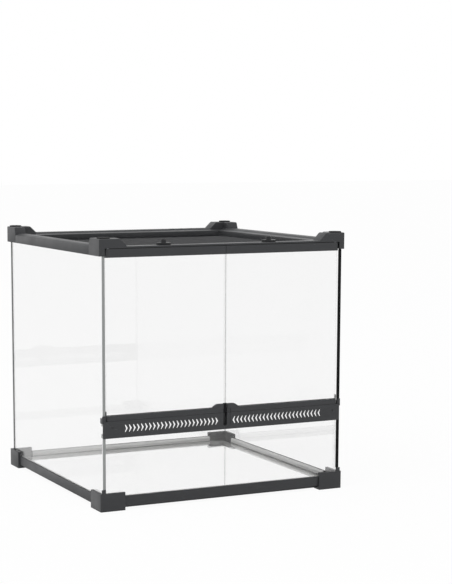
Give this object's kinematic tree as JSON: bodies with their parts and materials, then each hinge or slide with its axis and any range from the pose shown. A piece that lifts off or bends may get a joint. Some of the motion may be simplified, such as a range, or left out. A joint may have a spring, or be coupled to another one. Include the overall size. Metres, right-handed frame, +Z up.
{
  "type": "reptile terrarium",
  "caption": "Front-opening glass terrarium: plastic base and top frames, two hinged glass doors over a slotted vent strip, and a lift-off screen lid under turn knobs.",
  "frame": {"origin": "on the ground under the middle of the tank", "axes": "+Z up, +X to the right as seen from the front, the doors face -Y"},
  "size_m": [0.45, 0.44, 0.4437],
  "materials": {
    "black_plastic": "satin black moulded plastic",
    "knob_plastic": "satin black moulded plastic",
    "clear_glass": "clear float glass with ground edges",
    "silicone": "translucent silicone",
    "pad_rubber": "matt black rubber",
    "screen_wire": "dark coated wire mesh",
    "steel": "plain steel"
  },
  "bodies": {
    "tank": {"base_corner_front_left": "black_plastic", "base_corner_front_right": "black_plastic", "base_corner_rear_left": "black_plastic", "base_corner_rear_right": "black_plastic", "base_rail_front": "black_plastic", "base_rail_rear": "black_plastic", "base_rail_left": "black_plastic", "base_rail_right": "black_plastic", "floor_glass": "clear_glass", "floor_seal": "silicone", "left_glass": "clear_glass", "right_glass": "clear_glass", "rear_glass": "clear_glass", "lower_front_glass": "clear_glass", "vent_strip": "black_plastic", "strip_clip_left": "black_plastic", "strip_clip_right": "black_plastic", "hinge_pins_lower": "steel", "hinge_pins_upper": "steel", "top_corner_front_left": "black_plastic", "top_corner_front_right": "black_plastic", "top_corner_rear_left": "black_plastic", "top_corner_rear_right": "black_plastic", "top_rail_front": "black_plastic", "top_rail_rear": "black_plastic", "top_rail_left": "black_plastic", "top_rail_right": "black_plastic", "stacking_pads": "pad_rubber", "catch_magnets": "steel", "knob_screws": "steel"},
    "left_door": {"door_glass_left": "clear_glass", "door_header_left": "black_plastic", "door_trim_left": "black_plastic", "catch_plate_left": "steel"},
    "right_door": {"door_glass_right": "clear_glass", "door_header_right": "black_plastic", "door_trim_right": "black_plastic", "catch_plate_right": "steel"},
    "lid": {"lid_frame": "black_plastic", "lid_screen": "screen_wire"},
    "left_knob": {"knob_left_turn": "knob_plastic"},
    "right_knob": {"knob_right_turn": "knob_plastic"}
  },
  "joints": [
    {"name": "left_door_hinge", "type": "hinge", "parent": "tank", "child": "left_door", "pos_m": [-0.209, -0.2146, 0.15], "axis": [0, 0, -1], "range_deg": [0, 95]},
    {"name": "right_door_hinge", "type": "hinge", "parent": "tank", "child": "right_door", "pos_m": [0.209, -0.2146, 0.15], "axis": [0, 0, 1], "range_deg": [0, 95]},
    {"name": "lid_lift", "type": "slide", "parent": "tank", "child": "lid", "axis": [0, 0, 1], "range_m": [0, 0.12]},
    {"name": "left_knob_turn", "type": "hinge", "parent": "tank", "child": "left_knob", "pos_m": [-0.105, -0.2025, 0.43], "axis": [0, 0, 1], "range_deg": [-90, 0]},
    {"name": "right_knob_turn", "type": "hinge", "parent": "tank", "child": "right_knob", "pos_m": [0.088, -0.2025, 0.43], "axis": [0, 0, 1], "range_deg": [-90, 0]}
  ]
}
